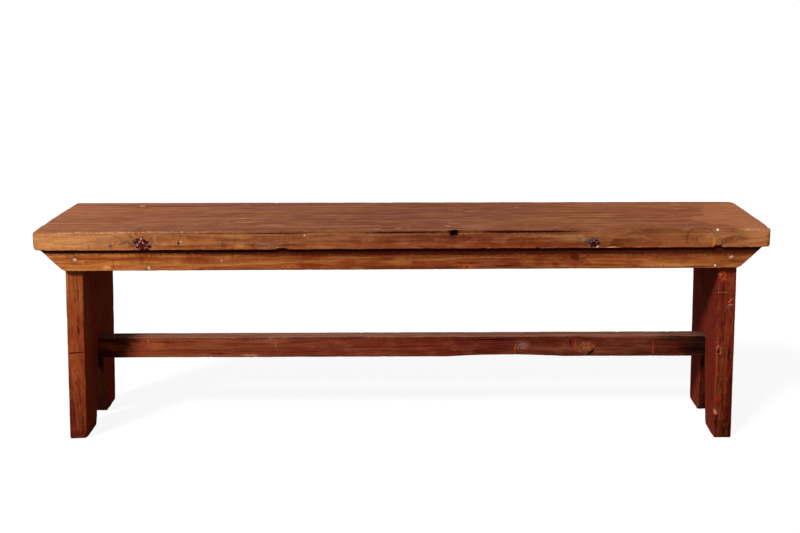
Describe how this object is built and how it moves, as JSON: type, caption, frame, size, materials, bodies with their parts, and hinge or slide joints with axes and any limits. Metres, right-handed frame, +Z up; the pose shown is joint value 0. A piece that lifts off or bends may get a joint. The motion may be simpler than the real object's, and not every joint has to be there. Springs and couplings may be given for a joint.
{
  "type": "plank bench",
  "caption": "Rustic wooden bench: a wide plank seat on notched plank legs, with a long low stretcher and aprons with sloped ends. It seats people side by side.",
  "frame": {"origin": "middle of the bench's footprint box, on the floor", "axes": "+X along the bench to its right end, +Y from the front to the back, +Z up"},
  "size_m": [1.5, 0.34, 0.455],
  "materials": {
    "seat_wood": "worn, oiled, satin",
    "apron_wood": "worn, oiled, satin",
    "left_leg_wood": "worn, oiled, satin",
    "right_leg_wood": "worn, oiled, satin",
    "stretcher_wood": "worn, oiled, satin",
    "cleat_wood": "bare, matte",
    "plug_wood": "bare, matte",
    "screw_steel": "dull"
  },
  "bodies": {
    "root": {"seat_board": "seat_wood", "left_leg": "left_leg_wood", "right_leg": "right_leg_wood", "stretcher": "stretcher_wood", "front_apron": "apron_wood", "rear_apron": "apron_wood", "left_cleat": "cleat_wood", "right_cleat": "cleat_wood", "apron_screws": "screw_steel", "apron_screw_plugs": "plug_wood", "cleat_to_seat_screws": "screw_steel", "cleat_to_leg_screws": "screw_steel", "stretcher_screws": "screw_steel"}
  },
  "joints": []
}
